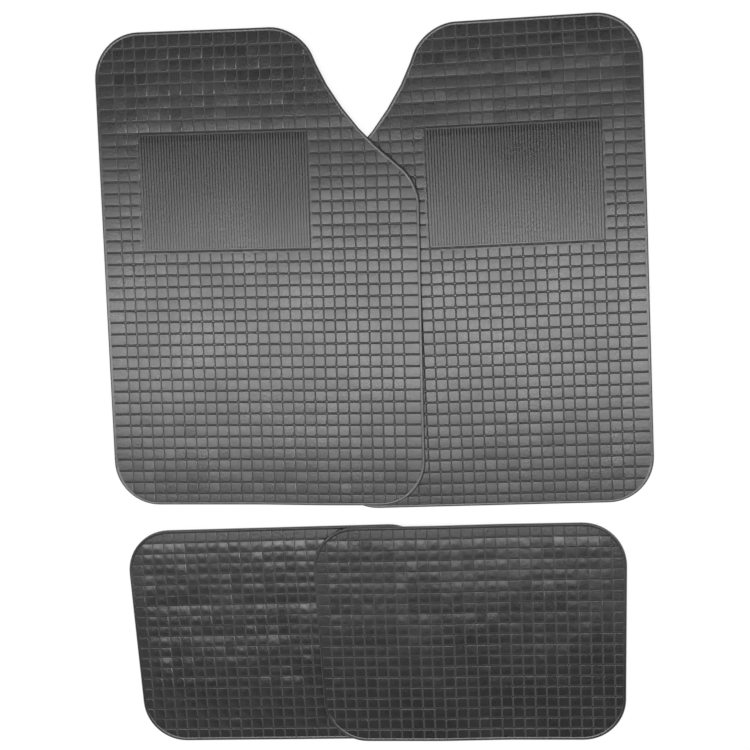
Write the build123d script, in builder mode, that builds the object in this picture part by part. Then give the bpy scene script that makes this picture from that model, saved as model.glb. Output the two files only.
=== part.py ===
from build123d import *
import math
import os

# A set of four moulded rubber floor mats: two front mats with a ribbed heel pad and a cut
# inner corner, and two plain rear mats. They are laid out as pairs that overlap, with the
# upper mat of each pair rising over the edge of the mat beneath it. Each mat is one
# moulding: a thin sheet with a bead along its rim and square tiles between crossing grooves.
# Millimetres, +Z up, +Y towards the front of the vehicle, origin at the centre of the base.

# Section of the rubber
sheet = 3.0  # solid rubber below the grooves
groove_depth = 1.0
groove_width = 3.4
rim_width = 5.0
rim_rise = 0.7  # rim bead above the tiles
groove_overcut = 0.5  # how far the groove cutters stand above the tiles
row_stop = 0.8  # the grooves across a mat end this far short of the rim bead

# Front mats
front_width = 438.0
front_length = 650.0
front_corner = 62.0
cut_width = 154.0  # cut corner, along the front edge
cut_length = 209.5  # cut corner, along the inner edge
cut_front_slope = 68.0  # degrees, of the cut where it leaves the front edge
cut_side_slope = 41.6  # degrees, of the cut where it meets the inner edge
cut_hollow = 290.0  # radius of the hollow between the two slopes
front_column_pitch = 15.5
front_row_pitch = 16.1
front_border = 22.0  # front edge to the first groove across the mat

# Heel pad of the front mats, counted in tiles
pad_first_column = 2
pad_columns = 15
pad_first_row = 7
pad_rows = 10
ribs_per_tile = 4
rib_groove_width = 2.0
rib_groove_depth = 0.8
pad_head_bar = 4.5  # plain bar between the front of the pad and its rib grooves
pad_foot_strip = 4.0  # plain strip behind the rib grooves
pad_clearance = 4.0  # the tile grooves beside and behind the pad stop this far short of it

# Rear mats
rear_width = 436.0  # along the front edge
rear_back_width = 418.0  # along the back edge
rear_length = 309.0
rear_corner = 60.0
rear_column_pitch = 15.7
rear_row_pitch = 15.2
rear_border = 17.7  # front edge to the first groove across the mat

# Narrowest border that the tile pattern leaves plain
least_side_border = 20.0
least_back_border = 12.0

# Layout of the set on the floor
front_overlap = 136.0
rear_overlap = 172.0
pair_gap = 27.0  # from the back of the front pair to the front of the rear pair
driver_forward = 6.0  # the driver mat lies this far ahead of the passenger mat
rear_offset = -14.5  # the rear pair lies this far to the side of the front pair
driver_turn = -0.95
passenger_turn = 0.5
rear_left_turn = 0.75
rear_right_turn = 0.15

# Where an upper mat rises over a lower one
ramp_length = 90.0
ramp_landing = 3.0  # level run between the top of the ramp and the edge below
resting_gap = 0.3  # clearance between the two mats

tile_top = sheet + groove_depth
rim_top = tile_top + rim_rise
lift = rim_top + resting_gap


# ---- Outlines, seen from above: outer side at -X, inner side at +X ----


def front_outline():
    """A rounded rectangle with its inner front corner cut away along a hollow curve."""
    side, end = front_width / 2, front_length / 2
    steep = math.tan(math.radians(cut_front_slope))
    flat = math.tan(math.radians(cut_side_slope))
    knee_in = (cut_width * steep - cut_length) / (steep - flat)
    knee_back = (cut_width - knee_in) * steep
    with BuildSketch() as outline:
        with BuildLine():
            FilletPolyline(
                (-side, -end),
                (side, -end),
                (side, end - cut_length),
                (side - knee_in, end - knee_back),
                (side - cut_width, end),
                (-side, end),
                radius=[front_corner, front_corner, front_corner, cut_hollow] + [front_corner] * 2,
                close=True,
            )
        make_face()
    return outline.sketch


def rear_outline():
    """A rounded rectangle that narrows a little towards the back."""
    front, back, end = rear_width / 2, rear_back_width / 2, rear_length / 2
    with BuildSketch() as outline:
        with BuildLine():
            FilletPolyline(
                (-back, -end), (back, -end), (front, end), (-front, end), radius=rear_corner, close=True
            )
        make_face()
    return outline.sketch


# ---- The section across a mat: level, or level, up a ramp and level again ----


def section_line(half_width, ramp_foot=None):
    """Points (x, z) of the underside of a mat, from its outer to its inner side."""
    if ramp_foot is None:
        return [(-half_width, 0), (half_width, 0)]
    return [(-half_width, 0), (ramp_foot, 0), (ramp_foot + ramp_length, lift), (half_width, lift)]


def height_at(line, x):
    """Height of the underside at a place across the mat."""
    for (x0, z0), (x1, z1) in zip(line, line[1:]):
        if x <= x1:
            return z0 + (z1 - z0) * (x - x0) / (x1 - x0)
    return line[-1][1]


def layer(line, low, high, half_length):
    """Slab between two heights above the underside of a mat."""
    with BuildPart() as slab:
        with BuildSketch(Plane.XZ):
            with BuildLine():
                bottom = [(x, z + low) for x, z in line]
                top = [(x, z + high) for x, z in reversed(line)]
                Polyline(*bottom, *top, close=True)
            make_face()
        extrude(amount=half_length, both=True)
    return slab.part


# ---- Grooves: V-shaped cutters, wider above the tiles so that they cut clear ----


def groove_profile(width, depth):
    """Section of a groove, with its lip at the height of the tiles."""
    half = width / 2 * (1 + groove_overcut / depth)
    Polygon((-half, groove_overcut), (half, groove_overcut), (0, -depth), align=None)


def column_grooves(line, places, half_length, width, depth):
    """Grooves that run from the front of a mat to its back."""
    with BuildPart() as cutters:
        with BuildSketch(Plane.XZ):
            for x in places:
                with Locations((x, height_at(line, x) + tile_top)):
                    groove_profile(width, depth)
        extrude(amount=half_length, both=True)
    return cutters.part


def row_grooves(line, places):
    """Grooves that run across a mat and follow its ramp."""
    with BuildPart() as cutters:
        for (x0, z0), (x1, z1) in zip(line, line[1:]):
            with BuildSketch(Plane.YZ.offset(x0)):
                for y in places:
                    with Locations((y, z0 + tile_top)):
                        groove_profile(groove_width, groove_depth)
            extrude(amount=math.hypot(x1 - x0, z1 - z0), dir=(x1 - x0, 0, z1 - z0))
    return cutters.part


def column_places(width, pitch):
    """Grooves at an even pitch, centred between the two sides of a mat."""
    tiles = int((width - 2 * least_side_border) // pitch)
    return [(i - tiles / 2) * pitch for i in range(tiles + 1)]


def row_places(length, pitch, border):
    """Grooves at an even pitch, counted from the front edge of a mat."""
    tiles = int((length - border - least_back_border) // pitch)
    return [length / 2 - border - i * pitch for i in range(tiles + 1)]


def block(x0, x1, y0, y1):
    """Tall box over a rectangle of a mat, which keeps grooves out of it."""
    with BuildPart() as keep_out:
        with BuildSketch():
            with Locations(((x0 + x1) / 2, (y0 + y1) / 2)):
                Rectangle(x1 - x0, y1 - y0)
        extrude(amount=2 * (lift + rim_top))
    return keep_out.part


# ---- Mouldings ----


def blank(outline, line, half_length):
    """Sheet with a flat top and the bead along its rim, before the grooves are cut."""
    height = lift + rim_top + groove_overcut
    with BuildPart() as body:
        with BuildSketch():
            add(outline)
        extrude(amount=height)
        add(layer(line, 0, tile_top, half_length), mode=Mode.INTERSECT)
    with BuildPart() as bead:
        with BuildSketch():
            add(outline)
            offset(outline, amount=-rim_width, mode=Mode.SUBTRACT)
        extrude(amount=height)
        add(layer(line, 0, rim_top, half_length), mode=Mode.INTERSECT)
    with BuildPart() as moulded:
        add(body.part)
        add(bead.part)
    return moulded.part


def field(outline, short=0):
    """Tall prism over the part of a mat inside its rim bead, or stopping short of the bead."""
    with BuildPart() as prism:
        with BuildSketch():
            offset(outline, amount=-rim_width - short)
        extrude(amount=lift + rim_top + groove_overcut)
    return prism.part


def front_mat(ramp_foot=None):
    """Front mat for the left side: tiles around a ribbed heel pad."""
    half_width, half_length = front_width / 2, front_length / 2
    line = section_line(half_width, ramp_foot)
    outline = front_outline()
    columns = column_places(front_width, front_column_pitch)
    rows = row_places(front_length, front_row_pitch, front_border)

    pad_left = columns[pad_first_column]
    pad_right = columns[pad_first_column + pad_columns]
    pad_front = rows[pad_first_row]
    pad_back = rows[pad_first_row + pad_rows]
    rib_pitch = front_column_pitch / ribs_per_tile
    ribs = [pad_left + rib_pitch * (i + 1) for i in range(pad_columns * ribs_per_tile - 1)]
    lip = groove_width

    with BuildPart() as down:
        add(column_grooves(line, columns, half_length, groove_width, groove_depth))
        add(field(outline), mode=Mode.INTERSECT)
        add(block(pad_left + lip, pad_right - lip, pad_back - pad_clearance, pad_front), mode=Mode.SUBTRACT)
    with BuildPart() as across:
        add(row_grooves(line, rows))
        add(field(outline, row_stop), mode=Mode.INTERSECT)
        add(
            block(pad_left - pad_clearance, pad_right + pad_clearance, pad_back + lip, pad_front - lip),
            mode=Mode.SUBTRACT,
        )
    with BuildPart() as ribbing:
        add(column_grooves(line, ribs, half_length, rib_groove_width, rib_groove_depth))
        add(
            block(pad_left, pad_right, pad_back + pad_foot_strip, pad_front - pad_head_bar),
            mode=Mode.INTERSECT,
        )
    with BuildPart() as mat:
        add(blank(outline, line, half_length))
        add(ribbing.part, mode=Mode.SUBTRACT)
        add(down.part, mode=Mode.SUBTRACT)
        add(across.part, mode=Mode.SUBTRACT)
    return mat.part.solid()


def rear_mat(ramp_foot=None):
    """Rear mat for the left side: tiles all over."""
    half_width, half_length = rear_width / 2, rear_length / 2
    line = section_line(half_width, ramp_foot)
    outline = rear_outline()
    columns = column_places(rear_width, rear_column_pitch)
    rows = row_places(rear_length, rear_row_pitch, rear_border)
    with BuildPart() as down:
        add(column_grooves(line, columns, half_length, groove_width, groove_depth))
        add(field(outline), mode=Mode.INTERSECT)
    with BuildPart() as across:
        add(row_grooves(line, rows))
        add(field(outline, row_stop), mode=Mode.INTERSECT)
    with BuildPart() as mat:
        add(blank(outline, line, half_length))
        add(down.part, mode=Mode.SUBTRACT)
        add(across.part, mode=Mode.SUBTRACT)
    return mat.part.solid()


# ---- Layout: each pair side by side, then the whole set centred on the origin ----


def spot(x, y, turn):
    """Place of a mat on the floor: its centre and its turn about the vertical."""
    return Location((x, y, 0), (0, 0, turn))


front_spread = (front_width - front_overlap) / 2
rear_spread = (rear_width - rear_overlap) / 2
front_y = front_length / 2
rear_y = -pair_gap - rear_length / 2

driver_spot = spot(-front_spread, front_y + driver_forward, driver_turn)
passenger_spot = spot(front_spread, front_y, passenger_turn)
rear_left_spot = spot(rear_offset - rear_spread, rear_y, rear_left_turn)
rear_right_spot = spot(rear_offset + rear_spread, rear_y, rear_right_turn)

passenger_outline = front_outline().mirror(Plane.YZ)
plan = Compound(
    [
        driver_spot * front_outline(),
        passenger_spot * passenger_outline,
        rear_left_spot * rear_outline(),
        rear_right_spot * rear_outline(),
    ]
)
centre = plan.bounding_box().center()
to_origin = Location((-centre.X, -centre.Y, 0))


def ramp_foot_for(upper_spot, lower_spot, edge, side):
    """Where the ramp of an upper mat starts, so that it ends before the edge of the lower one."""
    contact = min(side * (upper_spot.inverse() * lower_spot * Location(p)).position.X for p in edge)
    return contact - ramp_landing - ramp_length


passenger_edge = [
    (-front_width / 2, front_length / 2 - cut_length, 0),
    (-front_width / 2, front_corner - front_length / 2, 0),
]
rear_left_edge = [(rear_width / 2, rear_length / 2, 0), (rear_back_width / 2, -rear_length / 2, 0)]
driver_ramp = ramp_foot_for(driver_spot, passenger_spot, passenger_edge, 1)
rear_right_ramp = ramp_foot_for(rear_right_spot, rear_left_spot, rear_left_edge, -1)


# ---- The four mats ----

os.makedirs("parts", exist_ok=True)

with BuildPart() as driver_mat:
    with Locations(to_origin * driver_spot):
        add(front_mat(driver_ramp))
driver_mat.part.label = "driver_mat"
export_step(driver_mat.part, "parts/driver_mat.step")

with BuildPart() as passenger_mat:
    with Locations(to_origin * passenger_spot):
        add(front_mat().mirror(Plane.YZ))
passenger_mat.part.label = "passenger_mat"
export_step(passenger_mat.part, "parts/passenger_mat.step")

with BuildPart() as rear_left_mat:
    with Locations(to_origin * rear_left_spot):
        add(rear_mat())
rear_left_mat.part.label = "rear_left_mat"
export_step(rear_left_mat.part, "parts/rear_left_mat.step")

with BuildPart() as rear_right_mat:
    with Locations(to_origin * rear_right_spot):
        add(rear_mat(rear_right_ramp).mirror(Plane.YZ))
rear_right_mat.part.label = "rear_right_mat"
export_step(rear_right_mat.part, "parts/rear_right_mat.step")
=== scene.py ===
import math
import random

import bmesh
import bpy
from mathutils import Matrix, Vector, noise


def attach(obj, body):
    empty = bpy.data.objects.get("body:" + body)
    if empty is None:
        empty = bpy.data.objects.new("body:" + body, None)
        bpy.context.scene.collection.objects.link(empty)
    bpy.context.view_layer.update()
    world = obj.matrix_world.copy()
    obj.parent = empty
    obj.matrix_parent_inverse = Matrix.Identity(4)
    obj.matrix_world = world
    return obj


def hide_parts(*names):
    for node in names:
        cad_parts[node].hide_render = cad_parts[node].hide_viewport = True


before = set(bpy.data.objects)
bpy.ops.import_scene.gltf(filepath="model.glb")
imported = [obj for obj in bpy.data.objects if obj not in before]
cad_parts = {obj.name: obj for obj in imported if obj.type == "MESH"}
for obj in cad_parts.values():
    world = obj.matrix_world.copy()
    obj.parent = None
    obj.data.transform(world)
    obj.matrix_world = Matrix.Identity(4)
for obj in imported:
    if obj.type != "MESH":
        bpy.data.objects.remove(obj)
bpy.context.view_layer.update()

# ---- Front mats: sheet and rim bead ----
# Each front mat is one pressing in black rubber, a rounded rectangle with its inner front
# corner cut away along a hollow curve. The sheet is about 3 mm thick between the tiles, and
# a rounded bead runs all round its rim.

mm = 0.001
touch = 0.01 * mm  # places closer than this are the same
level = 0.9  # least upward part of the normal of a face that faces up
upright = 0.1  # most upward part of the normal of a face that stands upright

sheet = 3.0 * mm
tile_rise = 1.0 * mm  # tops of the tiles above that
groove_rise = 0.28 * mm  # floor of the grooves above it
rim_width = 5.0 * mm  # of the bead with the slope inside it
rim_rise = 0.45 * mm  # bead above the tiles
rim_round = 1.7 * mm
rim_round_steps = 6
round_profile = 0.5  # of a bevel, for a quarter circle
rim_steps = (  # from the outer edge inwards: width, and fall towards the tiles
    (1.8 * mm, 0),
    (1.0 * mm, 0.06 * mm),
    (0.9 * mm, 0.16 * mm),
    (0.7 * mm, 0.23 * mm),
)
rim_flank = 0.6 * mm  # width of the slope at the ends of the grooves
tile_top = sheet + tile_rise
groove_floor = sheet + groove_rise
rim_top = tile_top + rim_rise
cut_spacing = 12.0 * mm  # between the lines that let a flat face follow the lie of the mat
corner_steps = 14  # facets round a quarter turn of the outline
fewest_corner_steps = 4

front_width = 438.0 * mm
front_length = 650.0 * mm
front_corner = 62.0 * mm  # radius
corner_cut_width = 154.0 * mm
corner_cut_length = 209.5 * mm
cut_front_slope = math.radians(68.0)  # of the cut's front part, against the front edge
cut_side_slope = math.radians(41.6)  # and of its back part
cut_hollow = 290.0 * mm  # radius of the curve between them


def anything(item):
    """The test that everything passes."""
    return True


def work_on(piece):
    """Selects one piece alone and makes it the active one."""
    bpy.ops.object.select_all(action="DESELECT")
    piece.select_set(True)
    bpy.context.view_layer.objects.active = piece


def pick(piece, kind, test):
    """Enters edit mode with only the corners, edges or faces selected that pass a test."""
    work_on(piece)
    bpy.ops.object.mode_set(mode="EDIT")
    bpy.ops.mesh.select_mode(type=kind)
    bpy.ops.mesh.select_all(action="DESELECT")
    mesh = bmesh.from_edit_mesh(piece.data)
    for item in {"VERT": mesh.verts, "EDGE": mesh.edges, "FACE": mesh.faces}[kind]:
        if test(item):
            item.select_set(True)
    mesh.select_flush_mode()
    bmesh.update_edit_mesh(piece.data)


def done():
    """Leaves edit mode."""
    bpy.ops.object.mode_set(mode="OBJECT")


def face_outwards(piece):
    """Turns every face of closed shells outwards."""
    pick(piece, "FACE", anything)
    bpy.ops.mesh.normals_make_consistent(inside=False)
    done()


def copied(piece, name):
    """A copy of a piece with its own mesh."""
    twin = piece.copy()
    twin.data = piece.data.copy()
    twin.name = name
    bpy.context.collection.objects.link(twin)
    return twin


def outline_face(corners):
    """Flat face round the given corners (x, y, radius), anticlockwise, with each one rounded."""
    bpy.ops.object.select_all(action="DESELECT")
    bpy.ops.mesh.primitive_circle_add(vertices=len(corners), radius=1, fill_type="NGON")
    face = bpy.context.object
    places = [Vector((x, y)) for x, y, radius in corners]
    for vertex, place in zip(face.data.vertices, places):
        vertex.co = (place.x, place.y, 0)
    for i, (x, y, radius) in enumerate(corners):
        before = places[i] - places[i - 1]
        after = places[(i + 1) % len(places)] - places[i]
        turn = abs(before.angle_signed(after))
        pick(face, "VERT", lambda vertex: (vertex.co.xy - places[i]).length < touch)
        bpy.ops.mesh.bevel(
            offset=radius * math.tan(turn / 2),
            segments=max(fewest_corner_steps, round(corner_steps * turn / (math.pi / 2))),
            profile=round_profile,
            affect="VERTICES",
            clamp_overlap=False,
        )
        done()
    return face


def front_corners():
    """Corners of a front mat before rounding, with its outer side at -X and its inner at +X."""
    side, end = front_width / 2, front_length / 2
    steep, flat = math.tan(cut_front_slope), math.tan(cut_side_slope)
    knee_in = (corner_cut_width * steep - corner_cut_length) / (steep - flat)
    knee_back = (corner_cut_width - knee_in) * steep
    return [
        (-side, -end, front_corner),
        (side, -end, front_corner),
        (side, end - corner_cut_length, front_corner),
        (side - knee_in, end - knee_back, cut_hollow),
        (side - corner_cut_width, end, front_corner),
        (-side, end, front_corner),
    ]


def faces_up(face):
    """True for a face that is level or nearly so, seen from above."""
    return face.normal.z > level


def outer_edge(edge):
    """True on the outer top edge of the rim bead, before it is rounded."""
    if len(edge.link_faces) < 2 or min(vertex.co.z for vertex in edge.verts) < rim_top - touch:
        return False
    slopes = sorted(face.normal.z for face in edge.link_faces)
    return slopes[1] > level and abs(slopes[0]) < upright


def rubber_sheet(outline):
    """The sheet with its rim bead, raised from the flat outline. Its floor is at groove depth."""
    body = copied(outline, "sheet")
    pick(body, "FACE", anything)
    bpy.ops.mesh.extrude_region_move(TRANSFORM_OT_translate={"value": (0, 0, rim_top)})
    done()
    face_outwards(body)
    pick(body, "FACE", faces_up)
    for inwards, fall in rim_steps:
        bpy.ops.mesh.inset(thickness=inwards, depth=-fall)
    bpy.ops.mesh.inset(thickness=rim_flank, depth=groove_floor - tile_top)
    done()
    pick(body, "EDGE", outer_edge)
    bpy.ops.mesh.bevel(
        offset=rim_round, segments=rim_round_steps, profile=round_profile, clamp_overlap=False
    )
    done()
    return body


def along_axis(axis, length):
    """Vector of a given length along one axis."""
    vector = [0, 0, 0]
    vector[axis] = length
    return vector


def cut(piece, axis, at, test):
    """Cuts the faces that pass a test with a plane square to one axis."""
    pick(piece, "FACE", test)
    bpy.ops.mesh.bisect(
        plane_co=along_axis(axis, at), plane_no=along_axis(axis, 1), threshold=touch
    )
    done()


def cut_lines(piece):
    """Cuts a piece along lines across and along the mat, so that its flat faces can bend."""
    for axis in (0, 1):
        reach = max(abs(vertex.co[axis]) for vertex in piece.data.vertices)
        steps = int(reach / cut_spacing)
        for i in range(-steps, steps + 1):
            cut(piece, axis, i * cut_spacing, anything)


# ---- Front mats: tiles ----
# Square rubber tiles stand between grooves that cross the whole mat, moulded in one with the
# sheet. Their corners are cut off, their flanks slope, their lips are softened and their tops
# are slightly full. The outermost tiles are wider and run into the rim bead.

groove_width = 3.0 * mm  # between the lips of two tiles
groove_foot = 0.1 * mm  # between their feet
tile_root = 0.1 * mm  # how far a foot reaches into the sheet
trim_overlap = 0.9 * mm  # how far the outermost tiles reach into the rim bead
tile_corner = 1.4 * mm  # cut off each corner
tile_steps = (  # from the foot of a tile up its flank and over its lip: inwards, upwards
    (0.75 * mm, 0.45 * mm),
    (0.50 * mm, 0.22 * mm),
    (0.20 * mm, 0.04 * mm),
    (0.30 * mm, 0.01 * mm),
)
front_crown = 0.05 * mm  # height of the full top of a tile above its lip
front_facets = 2  # facets across the full top

front_column_pitch = 15.5 * mm
front_row_pitch = 16.1 * mm
front_columns = 25  # whole tiles between the first and the last groove
front_rows = 38
front_border = 22.0 * mm  # front edge to the first groove across the mat
column_field = 216.0 * mm  # the wide outer tiles are made to reach this far, then trimmed


def joined(pieces):
    """Several pieces as one."""
    bpy.ops.object.select_all(action="DESELECT")
    for piece in pieces:
        piece.select_set(True)
    bpy.context.view_layer.objects.active = pieces[0]
    bpy.ops.object.join()
    return pieces[0]


def rubber_tile(width, length, crown, facets):
    """One tile, centred on the origin, for a pitch of width by length."""
    bpy.ops.object.select_all(action="DESELECT")
    bpy.ops.mesh.primitive_plane_add(size=1, location=(0, 0, sheet - tile_root))
    tile = bpy.context.object
    tile.scale = (width - groove_foot, length - groove_foot, 1)
    bpy.ops.object.transform_apply(location=True, rotation=False, scale=True)
    pick(tile, "VERT", anything)
    bpy.ops.mesh.bevel(offset=tile_corner, segments=1, affect="VERTICES", clamp_overlap=False)
    bpy.ops.mesh.select_all(action="SELECT")
    foot_rise = tile_root + groove_floor - sheet
    bpy.ops.mesh.extrude_region_move(TRANSFORM_OT_translate={"value": (0, 0, foot_rise)})
    done()
    face_outwards(tile)
    pick(tile, "FACE", faces_up)
    for inwards, upwards in tile_steps:
        bpy.ops.mesh.inset(thickness=inwards, depth=upwards)
    done()

    def on_top(face):
        return faces_up(face) and face.calc_center_median().z > tile_top - touch

    beside_top = groove_width + 2 * tile_steps[-1][0]
    spans = [width - beside_top, length - beside_top]
    for axis, span in enumerate(spans):
        for i in range(1, facets):
            cut(tile, axis, (i / facets - 0.5) * span, on_top)
    for vertex in tile.data.vertices:
        if vertex.co.z > tile_top - touch:
            fullness = [max(0, 1 - (2 * vertex.co[axis] / spans[axis]) ** 2) for axis in (0, 1)]
            vertex.co.z += crown * fullness[0] * fullness[1]
    return tile


def repeat(piece, count, step, axis):
    """Repeats a piece along one axis, within its own mesh."""
    work_on(piece)
    row = piece.modifiers.new("row", "ARRAY")
    row.count = count
    row.use_relative_offset = False
    row.use_constant_offset = True
    row.constant_offset_displace = along_axis(axis, step)
    bpy.ops.object.modifier_apply(modifier=row.name)


def groove_places(first, count, pitch):
    """Places of the grooves, from the lowest coordinate up."""
    return [first + i * pitch for i in range(count + 1)]


def stretch_border(field, axis, grooves, reach):
    """Widens the outermost tiles so that they reach as far as asked on both sides."""
    half = (grooves[1] - grooves[0]) / 2
    pick(field, "VERT", lambda vertex: vertex.co[axis] > grooves[-1] + half)
    bpy.ops.transform.translate(value=along_axis(axis, reach - grooves[-1] - 2 * half))
    done()
    pick(field, "VERT", lambda vertex: vertex.co[axis] < grooves[0] - half)
    bpy.ops.transform.translate(value=along_axis(axis, -reach - grooves[0] + 2 * half))
    done()


def inside(x, y, edge):
    """True if a point lies within a closed line of points."""
    hit = False
    for a, b in zip(edge, edge[1:] + edge[:1]):
        if (a.y > y) != (b.y > y) and x < a.x + (y - a.y) / (b.y - a.y) * (b.x - a.x):
            hit = not hit
    return hit


def trim_prism(outline):
    """Tall prism over the part of the mat within the rim bead, and its edge as points."""
    prism = copied(outline, "trim")
    pick(prism, "FACE", anything)
    bpy.ops.mesh.inset(thickness=rim_width - trim_overlap)
    bpy.ops.mesh.select_all(action="INVERT")
    bpy.ops.mesh.delete(type="FACE")
    done()
    face = prism.data.polygons[0]
    edge = [prism.data.vertices[i].co.xy.copy() for i in face.vertices]
    pick(prism, "FACE", anything)
    bpy.ops.transform.translate(value=(0, 0, sheet / 2))
    bpy.ops.mesh.extrude_region_move(TRANSFORM_OT_translate={"value": (0, 0, rim_top)})
    done()
    face_outwards(prism)
    return prism, edge


def tile_field(outline, columns, rows, reach, crown, facets, kept_clear):
    """Tiles between the grooves, trimmed to the rim and left out of the cells kept clear."""
    width, length = columns[1] - columns[0], rows[1] - rows[0]
    field = rubber_tile(width, length, crown, facets)
    field.name = "tiles"
    work_on(field)
    field.location = (columns[0] - width / 2, rows[0] - length / 2, 0)
    bpy.ops.object.transform_apply(location=True, rotation=False, scale=False)
    repeat(field, len(columns) + 1, width, 0)
    repeat(field, len(rows) + 1, length, 1)
    stretch_border(field, 0, columns, reach[0])
    stretch_border(field, 1, rows, reach[1])

    prism, edge = trim_prism(outline)
    across = [-reach[0]] + columns + [reach[0]]
    along = [-reach[1]] + rows + [reach[1]]
    fates = {}
    for i in range(len(columns) + 1):
        for j in range(len(rows) + 1):
            corners = [(x, y) for x in across[i : i + 2] for y in along[j : j + 2]]
            hits = sum(inside(x, y, edge) for x, y in corners)
            fates[i, j] = "whole" if hits == len(corners) else "cut" if hits else "out"
            if kept_clear(i, j):
                fates[i, j] = "out"

    def cell(place):
        return sum(place.x > x for x in columns), sum(place.y > y for y in rows)

    pick(field, "VERT", lambda vertex: fates[cell(vertex.co)] == "out")
    bpy.ops.mesh.delete(type="VERT")
    done()
    pick(field, "VERT", lambda vertex: fates[cell(vertex.co)] == "cut")
    bpy.ops.mesh.separate(type="SELECTED")
    done()
    border = [piece for piece in bpy.context.selected_objects if piece != field][0]
    work_on(border)
    trim = border.modifiers.new("trim", "BOOLEAN")
    trim.operation = "INTERSECT"
    trim.solver = "MANIFOLD"
    trim.object = prism
    bpy.ops.object.modifier_apply(modifier=trim.name)
    bpy.data.objects.remove(prism)
    return joined([field, border])


# ---- Front mats: heel pad ----
# A ribbed rectangle under the heels, of the same rubber, moulded in one with the mat. Fine
# ribs run lengthwise from a plain bar at the front to a plain strip at the back, where their
# grooves grow shallow. The tile grooves beside and behind the pad stop short of it.

pad_first_column = 2  # grooves beside the pad, from the outer one
pad_columns = 15
pad_first_row = 7  # grooves ahead of the pad
pad_rows = 10
ribs_per_tile = 4
rib_top = 2.85 * mm  # width of a rib's crown
rib_round = 0.1 * mm
rib_front_share = 0.65  # of that width, for a short way behind the bar
rib_front_reach = 7.0 * mm  # length of that way
rib_taper = 1.0 * mm  # length over which a rib then widens
rib_floor = 3.0 * mm  # height of the floor between the ribs at the front
rib_floor_back = 3.4 * mm  # and at the back
pad_head_bar = 4.5 * mm
pad_foot_strip = 4.0 * mm
pad_clearance = 4.7 * mm  # width of the strips that close the tile grooves round the pad
pad_line = 1.0 * mm  # floor of the groove round the pad
pad_lip = 1.35 * mm  # from the middle of that groove to the ribs
pad_draft = 0.4 * mm  # slope of the sides of the bars and strips
pad_step = 0.3 * mm  # width of the step down to the floor under the pad
strip_drop = 0.03 * mm  # how far the closing strips lie below the tiles, clear of their tops
lip_round = 0.55 * mm
round_steps = 2  # facets round the lip of a bar or the crown of a rib


def block(x0, x1, y0, y1, low, high, draft):
    """Raised block of rubber, its top smaller than its foot by the draft on every side."""
    bpy.ops.object.select_all(action="DESELECT")
    middle = ((x0 + x1) / 2, (y0 + y1) / 2, (low + high) / 2)
    bpy.ops.mesh.primitive_cube_add(size=1, location=middle)
    shape = bpy.context.object
    shape.scale = (x1 - x0, y1 - y0, high - low)
    bpy.ops.object.transform_apply(location=False, rotation=False, scale=True)
    pick(shape, "FACE", faces_up)
    bpy.ops.transform.resize(value=(1 - 2 * draft / (x1 - x0), 1 - 2 * draft / (y1 - y0), 1))
    done()
    work_on(shape)
    bpy.ops.object.transform_apply(location=True, rotation=False, scale=False)
    return shape


def round_edges(shape, test, offset):
    """Rounds the edges of a block that pass a test."""
    pick(shape, "EDGE", test)
    bpy.ops.mesh.bevel(
        offset=offset, segments=round_steps, profile=round_profile, clamp_overlap=False
    )
    done()


def top_edge(edge):
    """True for an edge between the level top of a block and one of its sides."""
    return len(edge.link_faces) == 2 and sum(faces_up(face) for face in edge.link_faces) == 1


def lengthwise_top_edge(edge):
    """True for such an edge that runs along the mat."""
    return top_edge(edge) and abs(edge.verts[0].co.x - edge.verts[1].co.x) < touch


def sink_pad_floor(body, columns, rows):
    """Lowers the sheet under the pad, where the grooves between the ribs are deeper."""
    ends = (
        (columns[pad_first_column], columns[pad_first_column + pad_columns]),
        (rows[-1 - pad_first_row - pad_rows], rows[-1 - pad_first_row]),
    )
    for axis in (0, 1):
        low, high = ends[axis]
        for line in (low, low + pad_step, high - pad_step, high):
            cut(body, axis, line, faces_up)
    inner = [(low + pad_step / 2, high - pad_step / 2) for low, high in ends]
    pick(
        body,
        "VERT",
        lambda v: v.co.z > sheet
        and inner[0][0] < v.co.x < inner[0][1]
        and inner[1][0] < v.co.y < inner[1][1],
    )
    bpy.ops.transform.translate(value=(0, 0, sheet - tile_root - groove_floor))
    done()


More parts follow.
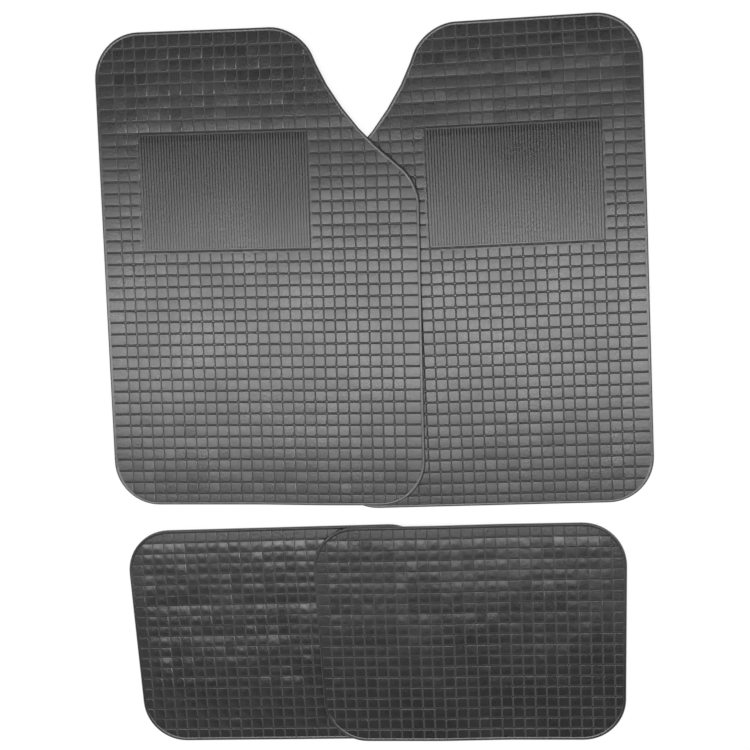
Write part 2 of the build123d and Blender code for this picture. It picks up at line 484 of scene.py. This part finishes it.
def heel_pad(columns, rows):
    """Ribs, bars and closing strips of the pad, as one piece."""
    left, right = columns[pad_first_column], columns[pad_first_column + pad_columns]
    front = rows[-1 - pad_first_row]
    back = rows[-1 - pad_first_row - pad_rows]
    lip, foot, low = pad_lip, pad_line / 2, sheet - tile_root

    floor = block(left + lip, right - lip, back + lip, front - lip, low, rib_floor, 0)
    pick(floor, "VERT", lambda v: v.co.z > sheet and v.co.y < (back + front) / 2)
    bpy.ops.transform.translate(value=(0, 0, rib_floor_back - rib_floor))
    done()
    bars = [
        (left + foot, right - foot, front - pad_head_bar, front - foot, tile_top),
        (left + foot, right - foot, back + foot, back + pad_foot_strip, tile_top),
        (left - pad_clearance, left - foot, back + foot, front - foot, tile_top - strip_drop),
        (right + foot, right + pad_clearance, back + foot, front - foot, tile_top - strip_drop),
        (left + foot, right - foot, back - pad_clearance, back - foot, tile_top - strip_drop),
    ]
    plates = [floor]
    for x0, x1, y0, y1, high in bars:
        bar = block(x0, x1, y0, y1, low, high, pad_draft)
        round_edges(bar, top_edge, lip_round)
        plates.append(bar)
    plates = joined(plates)
    cut_lines(plates)

    rib_pitch = (right - left) / (pad_columns * ribs_per_tile)
    centre = left + rib_pitch / 2
    bar_edge = pad_draft + lip_round  # a rib ends where the flat top of a bar begins
    rib = block(
        centre - rib_pitch / 2,
        centre + rib_pitch / 2,
        back + pad_foot_strip - bar_edge,
        front - pad_head_bar + bar_edge,
        low,
        tile_top,
        0,
    )
    pick(rib, "FACE", faces_up)
    bpy.ops.transform.resize(value=(rib_top / rib_pitch, 1, 1))
    done()
    round_edges(rib, lengthwise_top_edge, rib_round)
    cut_lines(rib)
    step = front - pad_head_bar - rib_front_reach
    for place in (step, step - rib_taper):
        cut(rib, 1, place, anything)
    pick(rib, "VERT", lambda v: v.co.y > step - rib_taper / 2 and v.co.z > sheet + rib_round)
    bpy.ops.transform.resize(value=(rib_front_share, 1, 1))
    done()
    repeat(rib, pad_columns * ribs_per_tile, rib_pitch, 0)
    return joined([plates, rib])


# ---- Front mats: rubber ----
# All four mats are of one black rubber with the soft sheen of a moulding. It has a fine grain
# from the mould, is uneven over a few millimetres, and is a little duller in patches.


class Wire:
    """An output socket of a material, which can be used in arithmetic."""

    tree = None

    def __init__(self, socket):
        self.socket = socket

    @classmethod
    def node(cls, kind, settings, inputs, output=0):
        """Adds a node, sets it up, feeds its sockets and returns one of its outputs."""
        made = cls.tree.nodes.new(kind)
        for name, value in settings.items():
            setattr(made, name, value)
        for name, value in inputs.items():
            if isinstance(value, Wire):
                cls.tree.links.new(value.socket, made.inputs[name])
            else:
                made.inputs[name].default_value = value
        return cls(made.outputs[output]) if made.outputs else None

    @staticmethod
    def maths(operation, *terms):
        """A Math node on wires or numbers."""
        return Wire.node("ShaderNodeMath", {"operation": operation}, dict(enumerate(terms)))

    def __add__(self, other):
        return Wire.maths("ADD", self, other)

    def __sub__(self, other):
        return Wire.maths("SUBTRACT", self, other)

    def __mul__(self, other):
        return Wire.maths("MULTIPLY", self, other)

    def __rsub__(self, other):
        return Wire.maths("SUBTRACT", other, self)

    __radd__ = __add__
    __rmul__ = __mul__


def new_material(name):
    """An empty material that the next nodes go into."""
    material = bpy.data.materials.new(name)
    material.use_nodes = True
    material.node_tree.nodes.clear()
    Wire.tree = material.node_tree
    return material


rubber_black = (0.002, 0.002, 0.0021, 1)
rubber_worn = (0.0045, 0.0045, 0.0046, 1)
rubber_roughness = 0.31
rubber_ior = 1.5
rubber_gloss = 1.0  # strength of its reflection, where 0.5 is plain
patches_noise = {"Scale": 11, "Detail": 4, "Roughness": 0.6}  # duller areas, some 10 cm across
mottle_noise = {"Scale": 230, "Detail": 2, "Roughness": 0.55}  # unevenness of a few mm
dust_noise = {"Scale": 160, "Detail": 5, "Roughness": 0.7}  # worn and dull specks
grain_noise = {"Scale": 650, "Detail": 3, "Roughness": 0.6}  # fine moulding grain
patches_wear, dust_wear = 0.6, 0.4  # shares in where the rubber looks worn
patches_dulling, dust_dulling, grain_dulling = 0.12, 0.1, 0.2  # spans of roughness
noise_middle = 0.5
grain_depth = 0.03  # mm
mottle_depth = 0.12  # mm
mix_colours, mix_result = (6, 7), 2  # the colour sockets of a Mix node


def moulded_rubber():
    """Black rubber with a soft sheen: fine moulding grain, and patches a little duller."""
    material = new_material("moulded_rubber")
    place = Wire.node("ShaderNodeTexCoord", {}, {}, "Object")

    def noise_at(settings):
        return Wire.node("ShaderNodeTexNoise", {}, {"Vector": place, **settings})

    patches, grain, dust = noise_at(patches_noise), noise_at(grain_noise), noise_at(dust_noise)
    wear = patches * patches_wear + dust * dust_wear
    colour = Wire.node(
        "ShaderNodeMix",
        {"data_type": "RGBA"},
        {"Factor": wear, mix_colours[0]: rubber_black, mix_colours[1]: rubber_worn},
        mix_result,
    )
    roughness = (
        rubber_roughness
        + (patches - noise_middle) * patches_dulling
        + (dust - noise_middle) * dust_dulling
        + (grain - noise_middle) * grain_dulling
    )
    relief = Wire.node(
        "ShaderNodeBump",
        {},
        {
            "Height": grain * grain_depth + noise_at(mottle_noise) * mottle_depth,
            "Strength": 1,
            "Distance": mm,
        },
    )
    shader = Wire.node(
        "ShaderNodeBsdfPrincipled",
        {},
        {
            "Base Color": colour,
            "Roughness": roughness,
            "Normal": relief,
            "IOR": rubber_ior,
            "Specular IOR Level": rubber_gloss,
        },
    )
    Wire.node("ShaderNodeOutputMaterial", {}, {"Surface": shader})
    return material


rubber = moulded_rubber()


# ---- Front mats: as they lie ----
# The passenger mat lies flat. The driver mat lies half over it: its inner side climbs a soft
# ramp and lies level on the mat below. The rubber is a little uneven, and each tile with it.

resting_gap = 0.55 * mm  # from the rim below to the underside above
lift = rim_top + resting_gap
ramp_length = 90.0 * mm
ramp_bend = 12.0 * mm  # half the length of the bend at either end of the ramp
ripple_height = 0.25 * mm
ripple_length = 75.0 * mm
ripple_level = 0.5  # share of that height on which a ripple rises and falls
smooth_angle = 16.0  # degrees, the sharpest bend that is shaded as a curve

front_settling = {
    "row_lean": 0.004,  # random slope of a whole row
    "tile_lean": 0.006,  # random slope of a single tile
    "fore_lean": 0,  # how much more the rows face forward at the front than at the back
    "front_fall": 0,  # slope of the front border
    "dents": 0.07 * mm,
    "unrest": 2.5,  # how much less even the first rows lie
    "wave": 0.009,  # slope of the first rows in a wave
    "spread": 1.25,  # flanks of the grooves along the mat against those across, so shallower
}
fore_lean_level = 0.6  # share of the rows behind the one that fore_lean leaves level
drift_share = 2  # slope that changes along a row, against that of a whole row
drift_length = 5.0  # tiles over which it changes
drift_apart = 5  # keeps it different from row to row
unrest_start = 0.74  # share of the rows behind the first ones that lie less evenly
unrest_waves = 0.75
dent_length = 9.0 * mm


def climb(x):
    """Area under a straight ramp that starts at 0, for averaging it over a bend."""
    if x <= 0:
        return 0
    return x * x / (2 * ramp_length) if x < ramp_length else x - ramp_length / 2


def rise_at(x, ramp_foot):
    """Height of the underside of an upper mat at a place across it."""
    ahead, behind = x - ramp_foot + ramp_bend, x - ramp_foot - ramp_bend
    return lift * (climb(ahead) - climb(behind)) / (2 * ramp_bend)


def tile_leans(column_count, row_count, seed, row_lean, tile_lean, fore_lean, unrest, wave):
    """Slope of each tile across and along the mat, and how uneven its row lies, in a table."""
    dice = random.Random(seed)
    leans = {}
    for j in range(row_count + 1):
        ahead = max(0, j / row_count - unrest_start) / (1 - unrest_start)
        uneven = 1 + unrest * ahead
        swell = wave * math.sin(2 * math.pi * unrest_waves * ahead)
        whole_row = dice.gauss(0, row_lean) - fore_lean * (j / row_count - fore_lean_level)
        for i in range(column_count + 1):
            spot = Vector((i / drift_length, drift_apart * j, seed))
            drift = drift_share * row_lean * noise.noise(spot)
            lean_across = dice.gauss(0, tile_lean)
            lean_along = swell + uneven * (whole_row + drift) + dice.gauss(0, tile_lean)
            leans[i, j] = (lean_across, lean_along, uneven)
    return leans


def settle_tiles(field, columns, rows, seed, front_fall, dents, spread, **leaning):
    """Leans and dents the tiles a little, and makes the grooves along the mat shallower."""
    leans = tile_leans(len(columns), len(rows), seed, **leaning)
    width, length = columns[1] - columns[0], rows[1] - rows[0]
    low, lip = sheet - tile_root, groove_width / 2
    for vertex in field.data.vertices:
        place = vertex.co
        i, j = sum(place.x > x for x in columns), sum(place.y > y for y in rows)
        if 0 < i < len(columns) and 0 < j < len(rows):
            lean_across, lean_along, uneven = leans[i, j]
            across = place.x - columns[i - 1] - width / 2
            along = place.y - rows[j - 1] - length / 2
            share = (place.z - low) / (tile_top - low)
            place.z += share * (lean_across * across + lean_along * along)
            dent = noise.noise(Vector((place.x, place.y, seed)) / dent_length)
            place.z += share * (uneven * dents) * dent
        else:
            place.z = min(place.z, tile_top) - front_fall * max(0, place.y - rows[-1] - lip)
        line = min(columns[max(0, i - 1) : i + 1], key=lambda x: abs(place.x - x))
        side = 1 if place.x > line else -1
        if abs(place.x - line) < lip:
            place.x = line + side * (lip - (lip - abs(place.x - line)) * spread)


def lay(mat, centre, turn, ramp_foot, mirrored):
    """Drapes a mat over its ramp, puts it in its place and lets its rubber lie unevenly.

    The centre is that of the outline on the floor, the turn is in degrees, and the ramp's foot
    is counted across the mat from its middle, or None for a mat that lies flat.
    """
    if ramp_foot is not None:
        for vertex in mat.data.vertices:
            vertex.co.z += rise_at(vertex.co.x, ramp_foot)
    work_on(mat)
    mat.scale = (-1 if mirrored else 1, 1, 1)
    mat.rotation_euler = (0, 0, math.radians(turn))
    mat.location = (centre[0], centre[1], 0)
    bpy.ops.object.transform_apply(location=True, rotation=True, scale=True)
    face_outwards(mat)
    for vertex in mat.data.vertices:
        wave = noise.noise(Vector((vertex.co.x, vertex.co.y, 0)) / ripple_length)
        vertex.co.z += ripple_height * min(1, max(0, ripple_level + wave))
    work_on(mat)
    bpy.ops.object.shade_smooth_by_angle(angle=math.radians(smooth_angle))


def finish_mat(mat, name, body, node):
    """Gives a mat its name and rubber, and puts it on its body in place of the CAD node."""
    mat.name = mat.data.name = name
    mat.data.materials.clear()
    mat.data.materials.append(rubber)
    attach(mat, body)
    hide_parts(node)


front_places_across = groove_places(
    -front_columns * front_column_pitch / 2, front_columns, front_column_pitch
)
front_places_along = groove_places(
    front_length / 2 - front_border - front_rows * front_row_pitch, front_rows, front_row_pitch
)


def in_heel_pad(i, j):
    """True for the cells that the heel pad takes up, counted from the outer back corner."""
    last_column, last_row = pad_first_column + pad_columns, front_rows - pad_first_row
    return pad_first_column < i <= last_column and last_row - pad_rows < j <= last_row


def front_mat(name, body, seed, **place):
    """One front mat, from its outline to its place on the floor."""
    columns, rows = front_places_across, front_places_along
    outline = outline_face(front_corners())
    body_sheet = rubber_sheet(outline)
    cut_lines(body_sheet)
    sink_pad_floor(body_sheet, columns, rows)
    reach = (column_field, front_length / 2 - rim_width / 2)
    tiles = tile_field(outline, columns, rows, reach, front_crown, front_facets, in_heel_pad)
    settle_tiles(tiles, columns, rows, seed, **front_settling)
    pad = heel_pad(columns, rows)
    mat = joined([body_sheet, tiles, pad])
    bpy.data.objects.remove(outline)
    lay(mat, **place)
    finish_mat(mat, name + "_moulding", body, name)


front_mat(
    "passenger_mat",
    "passenger",
    seed=3,
    centre=(152.025 * mm, 164.699 * mm),
    turn=0.5,
    ramp_foot=None,
    mirrored=True,
)
front_mat(
    "driver_mat",
    "driver",
    seed=5,
    centre=(-149.975 * mm, 170.699 * mm),
    turn=-0.95,
    ramp_foot=-12.79 * mm,
    mirrored=False,
)

# ---- Rear mats ----
# Two smaller mats, each a pressing in the same rubber, with tiles all over and no heel pad.
# They narrow a little towards the back. The right one lies over the left one, up a ramp of its
# own.

rear_width = 436.0 * mm  # along the front edge
rear_back_width = 418.0 * mm
rear_length = 309.0 * mm
rear_corner = 60.0 * mm
rear_column_pitch = 15.7 * mm
rear_row_pitch = 15.2 * mm
rear_columns = 25
rear_rows = 18
rear_border = 17.7 * mm
rear_left_crown = 0.42 * mm
rear_right_crown = 0.22 * mm
rear_facets = 4
rear_left_settling = {
    "row_lean": 0.026,
    "tile_lean": 0.016,
    "fore_lean": 0.06,
    "front_fall": 0.02,
    "dents": 0.2 * mm,
    "unrest": 0,
    "wave": 0,
    "spread": 1.3,
}
rear_right_settling = dict(
    rear_left_settling, row_lean=0.011, tile_lean=0.011, fore_lean=0.05, front_fall=0.012
)

rear_places_across = groove_places(
    -rear_columns * rear_column_pitch / 2, rear_columns, rear_column_pitch
)
rear_places_along = groove_places(
    rear_length / 2 - rear_border - rear_rows * rear_row_pitch, rear_rows, rear_row_pitch
)


def rear_mat(name, body, seed, crown, settling, **place):
    """One rear mat, from its outline to its place on the floor."""
    columns, rows = rear_places_across, rear_places_along
    front, back, end = rear_width / 2, rear_back_width / 2, rear_length / 2
    outline = outline_face(
        [
            (-back, -end, rear_corner),
            (back, -end, rear_corner),
            (front, end, rear_corner),
            (-front, end, rear_corner),
        ]
    )
    body_sheet = rubber_sheet(outline)
    cut_lines(body_sheet)
    reach = (column_field, rear_length / 2 - rim_width / 2)
    tiles = tile_field(outline, columns, rows, reach, crown, rear_facets, lambda i, j: False)
    settle_tiles(tiles, columns, rows, seed, **settling)
    mat = joined([body_sheet, tiles])
    bpy.data.objects.remove(outline)
    lay(mat, **place)
    finish_mat(mat, name + "_moulding", body, name)


rear_mat(
    "rear_left_mat",
    "rear_left",
    seed=7,
    crown=rear_left_crown,
    settling=rear_left_settling,
    centre=(-145.475 * mm, -341.801 * mm),
    turn=0.75,
    ramp_foot=None,
    mirrored=False,
)
rear_mat(
    "rear_right_mat",
    "rear_right",
    seed=11,
    crown=rear_right_crown,
    settling=rear_right_settling,
    centre=(118.525 * mm, -341.801 * mm),
    turn=0.15,
    ramp_foot=-45.37 * mm,
    mirrored=True,
)

# ---- Studio ----
# A white floor that keeps a little of the mats' shadow, a soft even surround, and one broad
# soft lamp overhead, whose reflection lies across the front mats.

white = (1, 1, 1, 1)
floor_size = 12.0  # metres, as are the measures of the lamp
floor_drop = 0.05 * mm  # keeps the floor clear of the flat undersides
floor_grey = (0.9, 0.9, 0.9, 1)  # as the mats see it
floor_glow = 1.06  # brightness of the plain white that the camera sees
floor_shadow = 0.22  # share of the floor's brightness that a shadow can take
surround_side = 0.85  # brightness of the surround, which is dark overhead
surround_reach = 0.5  # height below the top at which it is at full brightness
surround_wings = 0.35  # added on either side of the mats
wings_fall = 1.6  # power with which that fades towards the middle
lamp_radiance = 6.8
lamp_size = (2.76, 0.56)
lamp_place = (-0.05, -0.175, 2.4)

bpy.ops.object.select_all(action="DESELECT")
bpy.ops.mesh.primitive_plane_add(size=floor_size, location=(0, 0, -floor_drop))
floor = bpy.context.object
floor.name = "floor"
floor_white = new_material("floor_white")
seen = (
    Wire.node("ShaderNodeLightPath", {}, {}, "Is Camera Ray")
    + Wire.node("ShaderNodeLightPath", {}, {}, "Is Glossy Ray")
    + Wire.node("ShaderNodeLightPath", {}, {}, "Is Transmission Ray")
)
floor_shader = Wire.node(
    "ShaderNodeMixShader",
    {},
    {
        0: seen * (1 - floor_shadow),
        1: Wire.node("ShaderNodeBsdfDiffuse", {}, {"Color": floor_grey}),
        2: Wire.node("ShaderNodeEmission", {}, {"Color": white, "Strength": floor_glow}),
    },
)
Wire.node("ShaderNodeOutputMaterial", {}, {"Surface": floor_shader})
floor.data.materials.append(floor_white)

world = bpy.data.worlds.new("surround")
bpy.context.scene.world = world
world.use_nodes = True
world.node_tree.nodes.clear()
Wire.tree = world.node_tree
seen = Wire.node("ShaderNodeLightPath", {}, {}, "Is Camera Ray")
direction = Wire.node("ShaderNodeTexCoord", {}, {}, "Generated")
height = Wire.node("ShaderNodeSeparateXYZ", {}, {"Vector": direction}, "Z")
aside = Wire.node("ShaderNodeSeparateXYZ", {}, {"Vector": direction}, "X")
wings = Wire.maths("POWER", Wire.maths("ABSOLUTE", aside), wings_fall)
fade = Wire.node(
    "ShaderNodeMapRange",
    {"interpolation_type": "SMOOTHSTEP"},
    {"Value": 1 - height, "From Min": 0, "From Max": surround_reach},
)
light = surround_side * fade + surround_wings * wings
backdrop = Wire.node(
    "ShaderNodeBackground", {}, {"Color": white, "Strength": seen + (1 - seen) * light}
)
Wire.node("ShaderNodeOutputWorld", {}, {"Surface": backdrop})

lamp = bpy.data.lights.new("overhead", "AREA")
lamp.shape = "RECTANGLE"
lamp.size, lamp.size_y = lamp_size
lamp.energy = lamp_radiance * math.pi * lamp_size[0] * lamp_size[1]
lamp_stand = bpy.data.objects.new("overhead", lamp)
lamp_stand.location = lamp_place
bpy.context.collection.objects.link(lamp_stand)

# ---- Camera ----
# It stands about two metres above the mats, a little to the right of them and ahead, and
# looks almost straight down.

camera_tilt = (-8.185, 6.684, -2.5)  # degrees
camera_aim = Vector((-0.3 * mm, 23.6 * mm, 0))
camera_distance = 2050.6 * mm
camera_lens = 72  # millimetres, as the camera counts them
camera_sensor = 36

camera = bpy.data.objects.new("camera", bpy.data.cameras.new("camera"))
camera.data.lens, camera.data.sensor_width = camera_lens, camera_sensor
camera.rotation_euler = [math.radians(angle) for angle in camera_tilt]
camera.location = camera_aim + camera.rotation_euler.to_matrix() @ Vector((0, 0, camera_distance))
bpy.context.collection.objects.link(camera)
bpy.context.scene.camera = camera

bpy.context.scene.view_settings.view_transform = "Standard"
